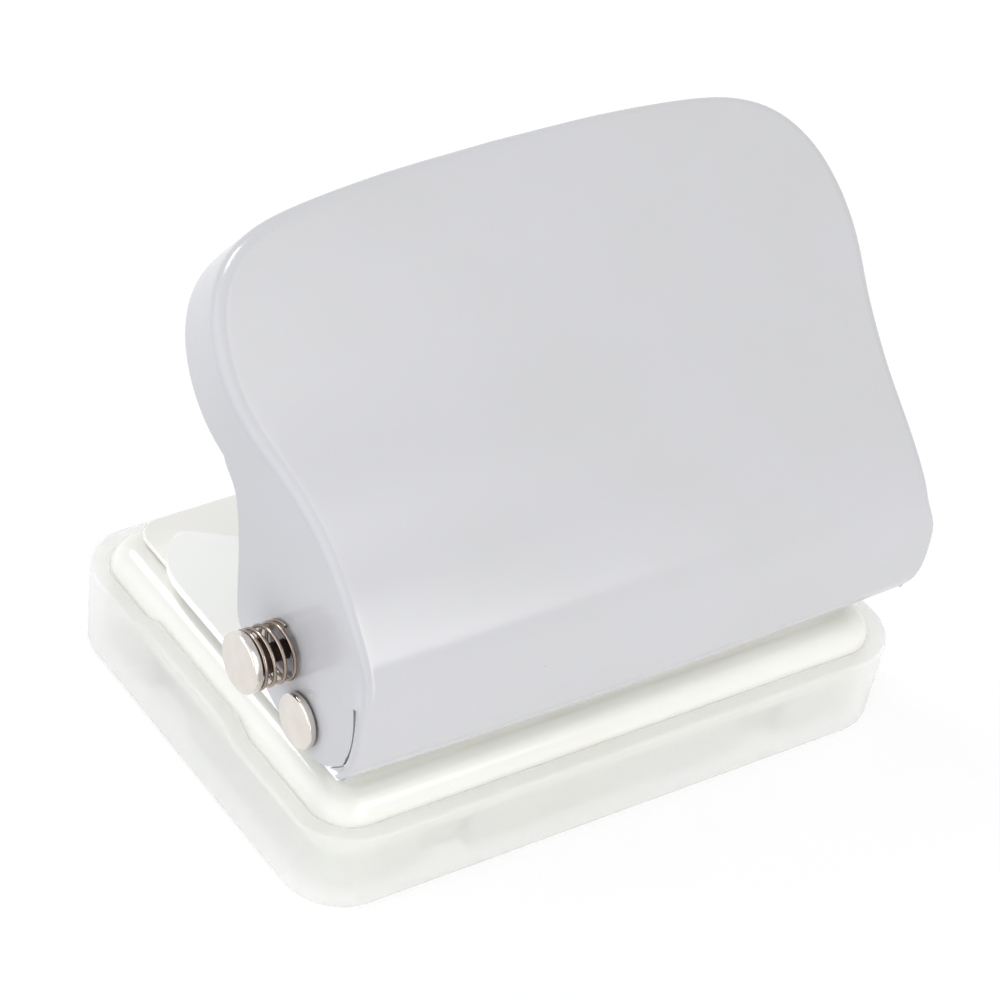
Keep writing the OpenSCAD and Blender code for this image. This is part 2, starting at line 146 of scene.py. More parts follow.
def addTurned(name, profile, place, turn, sides=48, bored=False):  # profile in radius and height, along +Z
    deselectAll()
    bpy.ops.mesh.primitive_circle_add(vertices=sides, radius=profile[0][0] * mm,
        location=(0, 0, profile[0][1] * mm))
    piece = nameNewest(name)
    settle(piece)
    startEdit(piece)
    bpy.ops.mesh.select_mode(type="EDGE")
    bpy.ops.mesh.select_all(action="SELECT")
    last = profile[0]
    for radius, height in profile[1:]:
        rise = (0, 0, (height - last[1]) * mm)
        bpy.ops.mesh.extrude_region_move(TRANSFORM_OT_translate={"value": rise})
        ratio = radius / last[0]
        bpy.ops.transform.resize(value=(ratio, ratio, 1), center_override=(0, 0, 0))
        last = (radius, height)
    pickOpenEdges(piece)
    if bored:
        bpy.ops.mesh.bridge_edge_loops()
    else:
        bpy.ops.mesh.fill_holes(sides=0)
    facesOutward()
    endEdit()
    piece.rotation_euler = turn
    piece.location = [v * mm for v in place]
    settle(piece)
    return piece


# rounds the inner corners of a turned profile, taking at most this share of each side
def softProfile(profile, radius, steps=3, most=0.45):
    soft = [profile[0]]
    for before, corner, after in zip(profile, profile[1:], profile[2:]):
        a, b, c = (Vector(p) for p in (before, corner, after))
        reach = min(radius, (a - b).length * most, (c - b).length * most)
        start = b + (a - b).normalized() * reach
        end = b + (c - b).normalized() * reach
        for k in range(steps + 1):
            t = k / steps
            soft.append(tuple(start * (1 - t) ** 2 + b * (2 * t * (1 - t)) + end * t ** 2))
    soft.append(profile[-1])
    return soft


def throughPoints(points, perSpan):  # smooth curve through all the points
    first = tuple(2 * a - b for a, b in zip(points[0], points[1]))
    final = tuple(2 * a - b for a, b in zip(points[-1], points[-2]))
    q = [first] + list(points) + [final]
    curve = []
    for i in range(1, len(q) - 2):
        for k in range(perSpan):
            t = k / perSpan
            curve.append(tuple(0.5 * (2 * b + (c - a) * t + (2 * a - 5 * b + 4 * c - d) * t * t
                + (3 * b - a - 3 * c + d) * t ** 3)
                for a, b, c, d in zip(q[i - 1], q[i], q[i + 1], q[i + 2])))
    curve.append(points[-1])
    return curve


def runModifier(piece, kind, **settings):
    makeActive(piece)
    change = piece.modifiers.new(kind.lower(), kind)
    for key, value in settings.items():
        setattr(change, key, value)
    bpy.ops.object.modifier_apply(modifier=change.name)


def combine(piece, tool, how):
    runModifier(piece, "BOOLEAN", operation=how, solver="EXACT", object=tool)
    bpy.data.objects.remove(tool, do_unlink=True)


def softenEdges(piece, width, segments=2, angle=40):
    runModifier(piece, "BEVEL", width=width * mm, segments=segments, limit_method="ANGLE",
        angle_limit=math.radians(angle))


def joinPieces(first, others):
    makeActive(first)
    for piece in others:
        piece.select_set(True)
    bpy.context.view_layer.objects.active = first
    bpy.ops.object.join()


def copyPiece(piece, name, shift):  # each copy has its own mesh
    makeActive(piece)
    bpy.ops.object.duplicate(linked=False)
    copy = nameNewest(name)
    copy.location = [v * mm for v in shift]
    settle(copy)
    return copy


def dropCrumbs(piece, fewest=8):  # splits many-sided faces, then drops scraps that a cut left loose
    startEdit(piece)
    bpy.ops.mesh.select_mode(type="FACE")
    bpy.ops.mesh.select_all(action="DESELECT")
    bpy.ops.mesh.select_face_by_sides(number=4, type="GREATER", extend=False)
    bpy.ops.mesh.quads_convert_to_tris(quad_method="BEAUTY", ngon_method="BEAUTY")
    bpy.ops.mesh.select_all(action="DESELECT")
    work = bmesh.from_edit_mesh(piece.data)
    seen = set()
    for face in work.faces:
        if face in seen:
            continue
        seen.add(face)
        island = [face]
        for member in island:
            for other in (f for edge in member.edges for f in edge.link_faces if f not in seen):
                seen.add(other)
                island.append(other)
        if len(island) < fewest:
            for member in island:
                member.select_set(True)
    bmesh.update_edit_mesh(piece.data)
    bpy.ops.mesh.delete(type="FACE")
    endEdit()


def finishPiece(piece, material, body, nodes, smoothAngle=35, weighted=True):
    dropCrumbs(piece)
    makeActive(piece)
    bpy.ops.object.shade_smooth_by_angle(angle=math.radians(smoothAngle))
    if weighted:
        runModifier(piece, "WEIGHTED_NORMAL", keep_sharp=True)
    piece.data.materials.clear()
    piece.data.materials.append(material)
    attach(piece, body)
    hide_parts(*nodes)


# materials

def colour(text):  # sRGB hex to linear
    parts = [int(text[i:i + 2], 16) / 255 for i in (1, 3, 5)]
    return [v / 12.92 if v <= 0.04045 else ((v + 0.055) / 1.055) ** 2.4 for v in parts] + [1.0]


def addNode(tree, kind, settings=None, links=None):
    node = tree.nodes.new(kind)
    for key, value in (settings or {}).items():
        if isinstance(key, int) or key in node.inputs:
            node.inputs[key].default_value = value
        else:
            setattr(node, key, value)
    for key, source in (links or {}).items():
        tree.links.new(source, node.inputs[key])
    return node


def newMaterial(name):
    material = bpy.data.materials.new(name)
    material.use_nodes = True
    material.node_tree.nodes.clear()
    return material, material.node_tree


def setRamp(node, stops):
    elements = node.color_ramp.elements
    while len(elements) < len(stops):
        elements.new(0.5)
    for element, (spot, shade) in zip(elements, stops):
        element.position = spot
        element.color = shade


def closeMaterial(tree, shader):
    addNode(tree, "ShaderNodeOutputMaterial", links={"Surface": shader.outputs[0]})


# baked enamel on pressed steel: an even gloss with a faint orange peel, a little cloud in the colour
# and a few dust specks under the film; lengths in mm, the peel's from crest to crest
enamelFilm = {"cloud": 22, "peel": 1.2, "peelDepth": 0.02, "dustApart": 9, "dustRare": 0.9, "index": 1.5}


def bakedEnamel(name, look, film=enamelFilm):
    material, tree = newMaterial(name)
    coords = addNode(tree, "ShaderNodeTexCoord").outputs["Object"]
    cloud = addNode(tree, "ShaderNodeTexNoise", {"Scale": 1 / (film["cloud"] * mm), "Detail": 3.0},
        {"Vector": coords})
    peel = addNode(tree, "ShaderNodeTexNoise", {"Scale": 1 / (film["peel"] * mm), "Detail": 2.0},
        {"Vector": coords})
    tone = addNode(tree, "ShaderNodeValToRGB", links={"Fac": cloud.outputs["Fac"]})
    setRamp(tone, [(0.3, colour(look["shade"])), (0.7, colour(look["colour"]))])
    cells = addNode(tree, "ShaderNodeTexVoronoi", {"Scale": 1 / (film["dustApart"] * mm)}, {"Vector": coords})
    near = addNode(tree, "ShaderNodeMath", {"operation": "LESS_THAN", 1: look["speck"]},
        {0: cells.outputs["Distance"]})
    lot = addNode(tree, "ShaderNodeSeparateColor", links={"Color": cells.outputs["Color"]})
    rare = addNode(tree, "ShaderNodeMath", {"operation": "GREATER_THAN", 1: film["dustRare"]},
        {0: lot.outputs["Red"]})
    dust = addNode(tree, "ShaderNodeMath", {"operation": "MULTIPLY"}, {0: near.outputs[0], 1: rare.outputs[0]})
    paint = addNode(tree, "ShaderNodeMix", {"data_type": "RGBA", 7: colour(look["dust"])},
        {0: dust.outputs[0], 6: tone.outputs["Color"]})
    gloss = addNode(tree, "ShaderNodeMapRange", {"To Min": look["gloss"][0], "To Max": look["gloss"][1]},
        {"Value": cloud.outputs["Fac"]})
    bump = addNode(tree, "ShaderNodeBump", {"Strength": look["peel"], "Distance": film["peelDepth"] * mm},
        {"Height": peel.outputs["Fac"]})
    shader = addNode(tree, "ShaderNodeBsdfPrincipled", {"IOR": film["index"]},
        {"Base Color": paint.outputs[2], "Roughness": gloss.outputs[0], "Normal": bump.outputs[0]})
    closeMaterial(tree, shader)
    return material


greyEnamel = bakedEnamel("satinGreyEnamel", {"colour": "#bdbdc0", "shade": "#bbbbbd", "dust": "#a8a8ab",
    "speck": 0.018, "gloss": (0.16, 0.22), "peel": 0.4})  # soft wide highlights on the folds
creamEnamel = bakedEnamel("glossCreamEnamel", {"colour": "#e5e5df", "shade": "#e3e3dc", "dust": "#cdcdc6",
    "speck": 0.012, "gloss": (0.16, 0.22), "peel": 0.18})  # a clear light line along the rolled edge
tableEnamel = bakedEnamel("dullIvoryEnamel", {"colour": "#f1f0eb", "shade": "#eeede7", "dust": "#d2d1ca",
    "speck": 0.012, "gloss": (0.3, 0.38), "peel": 0.2})  # duller, rubbed by paper
whiteEnamel = bakedEnamel("glossWhiteEnamel", {"colour": "#fafbf8", "shade": "#f7f8f4", "dust": "#dadad6",
    "speck": 0.012, "gloss": (0.2, 0.27), "peel": 0.2})  # the whitest of the four


# moulded polypropylene with a spark-eroded face: milky, so that what stands in it shows faintly;
# lengths in mm: erosion grain, flow clouds, and how far light spreads inside
frostedLook = {"colour": "#f8f9f3", "shade": "#f3f4ed", "flow": 25, "grain": 0.4, "grainDepth": 0.02,
    "bump": 0.2, "gloss": (0.2, 0.27), "index": 1.49, "cover": 0.36, "glow": 0.9, "glowReach": 3}


def frostedPolypropylene(look):
    material, tree = newMaterial("frostedPolypropylene")
    coords = addNode(tree, "ShaderNodeTexCoord").outputs["Object"]
    flow = addNode(tree, "ShaderNodeTexNoise", {"Scale": 1 / (look["flow"] * mm), "Detail": 2.0},
        {"Vector": coords})
    grain = addNode(tree, "ShaderNodeTexNoise", {"Scale": 1 / (look["grain"] * mm), "Detail": 2.0},
        {"Vector": coords})
    tone = addNode(tree, "ShaderNodeValToRGB", links={"Fac": flow.outputs["Fac"]})
    setRamp(tone, [(0.3, colour(look["shade"])), (0.7, colour(look["colour"]))])
    gloss = addNode(tree, "ShaderNodeMapRange", {"To Min": look["gloss"][0], "To Max": look["gloss"][1]},
        {"Value": flow.outputs["Fac"]})
    bump = addNode(tree, "ShaderNodeBump", {"Strength": look["bump"], "Distance": look["grainDepth"] * mm},
        {"Height": grain.outputs["Fac"]})
    shader = addNode(tree, "ShaderNodeBsdfPrincipled", {"IOR": look["index"], "Alpha": look["cover"],
        "Subsurface Weight": look["glow"], "Subsurface Radius": (1.0, 1.0, 1.0),
        "Subsurface Scale": look["glowReach"] * mm},
        {"Base Color": tone.outputs["Color"], "Roughness": gloss.outputs[0], "Normal": bump.outputs[0]})
    closeMaterial(tree, shader)
    return material


frostedPlastic = frostedPolypropylene(frostedLook)


# plated, ground or drawn metal: fine marks along or round the work, and a cloud in the colour;
# lengths in mm, the marks wider than real grinding lines, so that they show
metalSkin = {"cloud": 4, "markDepth": 0.01}


def workedMetal(name, look, skin=metalSkin):
    material, tree = newMaterial(name)
    coords = addNode(tree, "ShaderNodeTexCoord").outputs["Object"]
    placed = addNode(tree, "ShaderNodeMapping", {"Scale": look["stretch"]}, {"Vector": coords})
    marks = addNode(tree, "ShaderNodeTexNoise", {"Scale": 1 / (look["mark"] * mm), "Detail": 3.0},
        {"Vector": placed.outputs[0]})
    cloud = addNode(tree, "ShaderNodeTexNoise", {"Scale": 1 / (skin["cloud"] * mm), "Detail": 2.0},
        {"Vector": coords})
    tone = addNode(tree, "ShaderNodeValToRGB", links={"Fac": cloud.outputs["Fac"]})
    setRamp(tone, [(0.25, colour(look["shade"])), (0.75, colour(look["colour"]))])
    gloss = addNode(tree, "ShaderNodeMapRange", {"To Min": look["gloss"][0], "To Max": look["gloss"][1]},
        {"Value": marks.outputs["Fac"]})
    bump = addNode(tree, "ShaderNodeBump", {"Strength": look["depth"], "Distance": skin["markDepth"] * mm},
        {"Height": marks.outputs["Fac"]})
    shader = addNode(tree, "ShaderNodeBsdfPrincipled", {"Metallic": 1.0},
        {"Base Color": tone.outputs["Color"], "Roughness": gloss.outputs[0], "Normal": bump.outputs[0]})
    closeMaterial(tree, shader)
    return material


nickelPlate = workedMetal("brightNickelPlate", {"colour": "#e3ded7", "shade": "#d9d3cb", "mark": 0.5,
    "stretch": (1, 1, 1), "gloss": (0.14, 0.22), "depth": 0.2})  # warm and nearly a mirror
zincPlate = workedMetal("dullZincPlate", {"colour": "#c3c4c6", "shade": "#b4b6b9", "mark": 0.7,
    "stretch": (0.1, 1, 1), "gloss": (0.32, 0.46), "depth": 0.3})  # cool and dull, rolled along X
groundSteel = workedMetal("groundToolSteel", {"colour": "#c2c2c4", "shade": "#adadb0", "mark": 0.4,
    "stretch": (1, 1, 6), "gloss": (0.2, 0.3), "depth": 0.3})  # fine rings round the pin
drawnWire = workedMetal("drawnSpringWire", {"colour": "#bab5ad", "shade": "#a39e96", "mark": 0.3,
    "stretch": (1, 1, 1), "gloss": (0.14, 0.22), "depth": 0.15})  # bright thin lines on each turn
# the lock spring's metal: a brownish tint, darkened with painted shade that stands for the dark reflections in
# the gap between the lock's head and the flange
shadedLockWire = workedMetal("lockWireWithPaintedShade", {"colour": "#a99b8e", "shade": "#837569", "mark": 0.4,
    "stretch": (1, 1, 1), "gloss": (0.12, 0.2), "depth": 0.2})  # brownish with glints, darkened by painted shade
# near-black metal that is painted shade, put on the lock's collar and shank where the spring's turns hide them
# in shadow
lockShankShade = workedMetal("paintedShadeBehindSpring", {"colour": "#4a4039", "shade": "#2c2622", "mark": 0.4,
    "stretch": (4, 1, 1), "gloss": (0.25, 0.35), "depth": 0.2})  # painted shade for the dark gap behind the spring's turns
turnedBrass = workedMetal("turnedBrass", {"colour": "#d0ad62", "shade": "#bf9b52", "mark": 0.35,
    "stretch": (0.2, 0.2, 4), "gloss": (0.2, 0.3), "depth": 0.35})  # yellow, with tool rings
print("materials ready")


# camera: where the photograph was taken from, worked out from the straight edges of tray and handle
photoView = {
    "place": (-320.321, -383.193, 434.348),
    "right": (0.82643, -0.54690, 0.13387),
    "up": (0.26346, 0.58574, 0.76648),
    "back": (-0.49760, -0.59817, 0.62816),
    "lens": 164.21,
    "sensor": 36.0,
    "nearest": 10.0,
}
cameraData = bpy.data.cameras.new("photoCamera")
cameraData.lens = photoView["lens"]
cameraData.sensor_width = photoView["sensor"]
cameraData.clip_start = photoView["nearest"] * mm
camera = bpy.data.objects.new("photoCamera", cameraData)
scene.collection.objects.link(camera)
columns = [Vector(photoView[key]).normalized() for key in ("right", "up", "back")]
turned = Matrix(columns).transposed().to_4x4()
camera.matrix_world = Matrix.Translation([v * mm for v in photoView["place"]]) @ turned
scene.camera = camera


# tray: box with rounded corners, hollowed, pads that carry the base, a finger lip at each end
traySizes = {"length": 99.9, "width": 70.3, "height": 13.4, "corner": 8.9, "wall": 2.98, "floor": 1.6,
    "draft": 0.6, "lipRise": 1.4, "lipFrom": -8.0, "lipTo": 14.0, "lipRamp": 3.0, "lipIn": 46, "edge": 0.55,
    "padLow": 1.2, "padTop": 7.5, "padIn": 3.2, "padEdge": 0.5, "sidePad": (7, 4.2), "sidePadX": 26.8,
    "endPad": (4.2, 10), "endPadY": 9.7}


def buildTray(t):
    tray = addBlock("frostedTray", (t["length"], t["width"], t["height"]), (0, 0, t["height"] / 2))
    startEdit(tray)
    pick(tray, "EDGE", lambda middle, way: abs(way.z) > upright)
    bpy.ops.mesh.bevel(offset=t["corner"] * mm, segments=16, affect="EDGES", profile=0.5)
    pick(tray, "VERT", lambda spot, normal: spot.z < slack)
    bpy.ops.transform.resize(value=(1 - 2 * t["draft"] / t["length"], 1 - 2 * t["draft"] / t["width"], 1),
        center_override=(0, 0, 0))
    for y in (t["lipFrom"] - t["lipRamp"], t["lipFrom"], t["lipTo"], t["lipTo"] + t["lipRamp"]):
        bpy.ops.mesh.select_all(action="SELECT")
        bpy.ops.mesh.bisect(plane_co=(0, y * mm, 0), plane_no=(0, 1, 0))
    pick(tray, "FACE", lambda middle, normal: normal.z > upright)
    bpy.ops.mesh.inset(thickness=t["wall"] * mm)
    drop = (0, 0, (t["floor"] - t["height"]) * mm)
    bpy.ops.mesh.extrude_region_move(TRANSFORM_OT_translate={"value": drop})
    pick(tray, "VERT", lambda spot, normal: spot.z > t["height"] - slack and abs(spot.x) > t["lipIn"]
        and t["lipFrom"] - slack < spot.y < t["lipTo"] + slack)
    bpy.ops.transform.translate(value=(0, 0, t["lipRise"] * mm))
    facesOutward()
    endEdit()
    softenEdges(tray, t["edge"], 4)
    sidePads = [(x * t["sidePadX"], y * (t["width"] / 2 - t["padIn"]), t["sidePad"])
        for x in (-1, 1) for y in (-1, 1)]
    endPads = [(x * (t["length"] / 2 - t["padIn"]), t["endPadY"], t["endPad"]) for x in (-1, 1)]
    for x, y, (across, along) in sidePads + endPads:
        pad = addBlock("pad", (across, along, t["padTop"] - t["padLow"]),
            (x, y, t["padTop"] / 2 + t["padLow"] / 2))
        softenEdges(pad, t["padEdge"], 3)
        combine(tray, pad, "UNION")
    finishPiece(tray, frostedPlastic, "tray", ["chip_tray"])


buildTray(traySizes)
print("tray done")


# base: pressed cover with a full round along its top edge
baseSizes = {"length": 93.8, "width": 64.2, "low": 7.8, "top": 17.0, "corner": 5.8, "roll": 4.0, "sheet": 1.5,
    "edge": 0.3, "hole": 4.0, "cutDeep": 2}
pitch = 19
holeX = [pitch * k for k in (-2, -1, 0, 1, 2)]
holeY = -8.0
holeSpots = [(x, holeY) for x in holeX]


def cutRow(piece, spots, radius, low, high, past=2):  # the drill runs past both faces of the sheet
    for x, y in spots:
        drill = addTurned("drill", [(radius, low - past), (radius, high + past)], (x, y, 0), (0, 0, 0), 48)
        combine(piece, drill, "DIFFERENCE")


def buildBase(b):
    base = addBlock("creamBase", (b["length"], b["width"], b["top"] - b["low"]),
        (0, 0, (b["top"] + b["low"]) / 2))
    startEdit(base)
    pick(base, "EDGE", lambda middle, way: abs(way.z) > upright)
    bpy.ops.mesh.bevel(offset=b["corner"] * mm, segments=16, affect="EDGES", profile=0.5)
    pick(base, "EDGE", lambda middle, way: middle.z > b["top"] - slack)
    bpy.ops.mesh.bevel(offset=b["roll"] * mm, segments=10, affect="EDGES", profile=0.5)
    pick(base, "FACE", lambda middle, normal: normal.z < -upright)
    bpy.ops.mesh.delete(type="FACE")
    facesOutward()
    endEdit()
    runModifier(base, "SOLIDIFY", thickness=b["sheet"] * mm, offset=-1.0, use_even_offset=True)
    softenEdges(base, b["edge"], 2, 50)
    cutRow(base, holeSpots, b["hole"], b["top"] - b["cutDeep"], b["top"])
    finishPiece(base, creamEnamel, "base", ["base_shell"])


buildBase(baseSizes)


# table plate: flat sheet that the paper lies on, standing on a smaller foot
tableSizes = {"half": 42.3, "back": -26.9, "front": 29.9, "low": 17.0, "foot": 17.6, "top": 18.4, "corner": 3.5,
    "inset": 0.8, "lap": 0.2, "edge": 0.2, "hole": 2.55}


def roundedSheet(name, half, back, front, low, high, corner):
    sheet = addBlock(name, (2 * half, front - back, high - low), (0, (back + front) / 2, (low + high) / 2))
    startEdit(sheet)
    pick(sheet, "EDGE", lambda middle, way: abs(way.z) > upright)
    bpy.ops.mesh.bevel(offset=corner * mm, segments=12, affect="EDGES", profile=0.5)
    endEdit()
    return sheet


def buildTable(t):
    inset = t["inset"]
    table = roundedSheet("tablePlate", t["half"], t["back"], t["front"], t["foot"], t["top"], t["corner"])
    foot = roundedSheet("foot", t["half"] - inset, t["back"] + inset, t["front"] - inset, t["low"],
        t["foot"] + t["lap"], t["corner"] - inset)
    combine(table, foot, "UNION")
    cutRow(table, holeSpots, t["hole"], t["low"], t["top"])
    softenEdges(table, t["edge"], 2, 50)
    finishPiece(table, tableEnamel, "base", ["table_plate"])


buildTable(tableSizes)


# paper stop: the bar between the plates that sets the margin, held by the rivets
stopSizes = {"half": 42.7, "back": -26.7, "front": -13.5, "low": 18.4, "top": 19.6, "edge": 0.2, "hole": 1.61}
rivetX = [pitch * k for k in (-1.5, -0.5, 0.5, 1.5)]
rivetY = -20


def buildStop(s):
    stop = addBlock("paperStop", (2 * s["half"], s["front"] - s["back"], s["top"] - s["low"]),
        (0, (s["front"] + s["back"]) / 2, (s["low"] + s["top"]) / 2))
    cutRow(stop, [(x, rivetY) for x in rivetX], s["hole"], s["low"], s["top"])
    softenEdges(stop, s["edge"], 2, 50)
    finishPiece(stop, zincPlate, "base", ["paper_stop"])


buildStop(stopSizes)
print("base, table and stop done")


# punch frame: plate with two ears, cheeks that carry the pivot, rear wall with the handle's stops
pivot = (-21.9, 26.2)
lockSpot = (-15.7, 33.7)
frameSizes = {
    "half": 44.8, "back": -28.5, "low": 19.6, "sheet": 1.4, "lap": 0.2, "edge": 0.25,
    "ear": 23.45, "recess": 12.8, "inner": 20, "recessEnd": (3.4, 0.4),
    "earCurve": [(0, -10), (-0.3, -7.2), (-1.3, -4.3), (-3.5, -1.4), (-5.1, -0.25), (-6.2, 0), (-7.5, -0.5)],
    "cheekIn": 42.7, "cheekFoot": 16, "cheekHeel": 2,
    "cheekTop": [(15, 1.5), (13.6, 6.4), (11.2, 8.2), (8.6, 10.5), (3, 13), (-2.5, 11.5), (-5.2, 7)],
    "wallTop": 28.2, "wallLap": 1, "tabX": 30, "tabWide": 8, "tabTop": 27.7, "tabReach": -31.2, "tabLap": 0.5,
    "pinHole": 2.51, "lockHole": 2.0, "punchHole": 3.51, "stroke": 30, "notchLean": 20, "notchTall": 12,
    "cut": 50,
}


def buildFrame(f):
    half, ear, inner, recess, sheet = (f[key] for key in ("half", "ear", "inner", "recess", "sheet"))
    corner = throughPoints([(half + x, ear + y) for x, y in f["earCurve"]], 4)
    recessEnd = (inner + f["recessEnd"][0], recess + f["recessEnd"][1])
    right = [(half, f["back"])] + corner + [recessEnd, (inner, recess)]
    outline = right + [(-x, y) for x, y in reversed(right)]
    plate = addShape("punchFrame", outline, f["low"], sheet, False)
    heel = f["back"] - pivot[0]
    foot = f["low"] + f["lap"] - pivot[1]
    cheek = [(heel, foot), (f["cheekFoot"], foot)] + f["cheekTop"] + [(heel, f["cheekHeel"])]
    cheek = [(y + pivot[0], z + pivot[1]) for y, z in cheek]
    for side in (-1, 1):
        wall = addShape("cheek", cheek, side * f["cheekIn"], side * sheet, True)
        combine(plate, wall, "UNION")
    rear = addBlock("rear", (2 * f["cheekIn"] + f["wallLap"], sheet, f["wallTop"] - f["low"] - f["lap"]),
        (0, f["back"] + sheet / 2, (f["wallTop"] + f["low"] + f["lap"]) / 2))
    combine(plate, rear, "UNION")
    for side in (-1, 1):
        tab = addBlock("tab", (f["tabWide"], f["back"] + f["tabLap"] - f["tabReach"], sheet),
            (side * f["tabX"], (f["back"] + f["tabLap"] + f["tabReach"]) / 2, f["tabTop"] - sheet / 2))
        combine(plate, tab, "UNION")
    # holes for the pins and for the lock's tip, with the handle up (an open notch) and down (the catch)
    stroke = math.radians(f["stroke"])
    dy, dz = lockSpot[0] - pivot[0], lockSpot[1] - pivot[1]
    catch = (pivot[0] + dy * math.cos(stroke) + dz * math.sin(stroke),
        pivot[1] + dz * math.cos(stroke) - dy * math.sin(stroke))
    cut, wide, tall = f["cut"], f["lockHole"], f["notchTall"]
    for (y, z), radius in ((pivot, f["pinHole"]), (lockSpot, wide), (catch, wide)):
        drill = addTurned("drill", [(radius, -cut), (radius, cut)], (0, y, z), (0, math.pi / 2, 0), 48)
        combine(plate, drill, "DIFFERENCE")
    lean = math.radians(f["notchLean"])
    notch = [(-wide, 0), (wide, 0), (wide, tall), (-wide, tall)]
    notch = [(lockSpot[0] + a * math.cos(lean) - b * math.sin(lean),
        lockSpot[1] + a * math.sin(lean) + b * math.cos(lean)) for a, b in notch]
    combine(plate, addShape("notch", notch, -cut, 2 * cut, True), "DIFFERENCE")
    cutRow(plate, holeSpots, f["punchHole"], f["low"], f["low"] + sheet)
    softenEdges(plate, f["edge"], 2, 50)
    finishPiece(plate, whiteEnamel, "base", ["punch_frame"])


buildFrame(frameSizes)
print("punch frame done")


# rivets, bushes, washers and pivot pins: turned pieces, profiles in radius and height
def rowOf(first, name, rowX):  # one modelled, the rest copied, then joined as one piece
    copies = [copyPiece(first, name + "Copy", (x - rowX[0], 0, 0)) for x in rowX[1:]]
    joinPieces(first, copies)


rivetProfile = softProfile([(2.5, 14.6), (2.5, 15.5), (1.6, 15.5), (1.6, 21.0), (2.8, 21.0), (2.75, 21.35),
    (2.3, 21.8), (1.4, 22.05), (0.4, 22.1)], 0.15)
rivets = addTurned("frameRivets", rivetProfile, (rivetX[0], rivetY, 0), (0, 0, 0), 40)
rowOf(rivets, "rivet", rivetX)
finishPiece(rivets, zincPlate, "base", ["frame_rivets"])

bushProfile = softProfile([(2.55, 19.6), (3.5, 19.6), (3.5, 21.0), (4.0, 21.0), (4.0, 24.0), (2.55, 24.0),
    (2.55, 23.0)], 0.25)
bushes = addTurned("guideBushes", bushProfile, (holeX[0], holeY, 0), (0, 0, 0), 48, True)
rowOf(bushes, "bush", holeX)
finishPiece(bushes, turnedBrass, "base", ["guide_bushes"])

washerProfile = softProfile([(2.51, 0), (4.0, 0), (4.0, 1.3), (2.51, 1.3), (2.51, 0.65)], 0.15)
washerX = [-45.4, 44.1]
washers = addTurned("pivotWashers", washerProfile, (washerX[0], *pivot), (0, math.pi / 2, 0), 48, True)
rowOf(washers, "washer", washerX)
finishPiece(washers, zincPlate, "base", ["pivot_washers"])

pinSizes = {"inside": 42.3, "headLow": 47.2, "headHigh": 48.5, "head": 4.0, "shank": 2.5, "crown": 0.12,
    "chamfer": 0.3, "centre": 0.3, "round": 0.35}


def buildPivotPin(name, side, node, p):
    low, length = p["headLow"] - p["inside"], p["headHigh"] - p["inside"]
    profile = softProfile([(p["shank"] - p["chamfer"], 0), (p["shank"], p["chamfer"]), (p["shank"], low),
        (p["head"], low), (p["head"], length - p["crown"]), (p["centre"], length)], p["round"], 4)
    pin = addTurned(name, profile, (side * p["inside"], *pivot), (0, side * math.pi / 2, 0), 64)
    finishPiece(pin, nickelPlate, "base", [node])


buildPivotPin("pivotPinLeft", -1, "pivot_pin_left", pinSizes)
buildPivotPin("pivotPinRight", 1, "pivot_pin_right", pinSizes)
print("rivets, bushes, washers and pivot pins done")


# punches: ground pin with a flat head and a notched cutting end
punchSizes = {"tip": 20.1, "top": 39.95, "radius": 2.5, "head": 3.8, "headThick": 1.6, "notch": 1.1,
    "centre": 0.5, "round": 0.3, "cut": 6}


def buildPunch(p):
    neck = p["top"] - p["headThick"]
    profile = softProfile([(p["radius"], p["tip"]), (p["radius"], neck), (p["head"], neck),
        (p["head"], p["top"]), (p["centre"], p["top"])], p["round"])
    punch = addTurned("punchPin1", profile, (holeX[0], holeY, 0), (0, 0, 0), 48)
    reach = p["notch"] * math.sqrt(2)
    low = p["tip"] - p["notch"]
    notch = [(-reach, low), (0, low + reach), (reach, low), (0, low - reach)]
    cutter = addShape("notch", notch, -p["cut"], 2 * p["cut"], True)
    cutter.rotation_euler = (0, 0, math.pi / 2)
    cutter.location = (holeX[0] * mm, holeY * mm, 0)
    settle(cutter)
    combine(punch, cutter, "DIFFERENCE")
    return punch


punches = [buildPunch(punchSizes)]
for i in range(1, len(holeX)):
    punches.append(copyPiece(punches[0], "punchPin%d" % (i + 1), (pitch * i, 0, 0)))
for i, punch in enumerate(punches):
    finishPiece(punch, groundSteel, "punch_%d" % (i + 1), ["punch_pin_%d" % (i + 1)])


# springs: round wire wound in one piece, the end turns laid flat
def windSpring(name, coil, sides=12, steps=32, least=0.12):  # least: the end turns' share of the rise
    wire, turns = coil["wire"], coil["turns"]
    deselectAll()
    bpy.ops.mesh.primitive_circle_add(vertices=sides, radius=wire / 2 * mm,
        location=(coil["radius"] * mm, 0, 0), rotation=(math.pi / 2, 0, 0))
    spring = nameNewest(name)
    settle(spring)
    runModifier(spring, "SCREW", axis="Z", angle=2 * math.pi * turns, steps=int(steps * turns),
        render_steps=int(steps * turns), screw_offset=0, iterations=1, use_merge_vertices=False)
    rows = len(spring.data.vertices) // sides
    heights = []
    for k in range(rows):
        turn = turns * k / (rows - 1)
        share = min(min(turn, turns - turn) / coil["flat"], 1.0)
        heights.append(least + (1 - least) * share * share * (3 - 2 * share))
    total = sum(heights[1:])
    level = 0.0
    for k in range(rows):
        level += heights[k] * (coil["height"] - wire) / total if k else 0.0
        for j in range(sides):
            spring.data.vertices[k * sides + j].co.z += (level + wire / 2) * mm
    startEdit(spring)
    pickOpenEdges(spring)
    bpy.ops.mesh.fill_holes(sides=0)
    facesOutward()
    endEdit()
    return spring


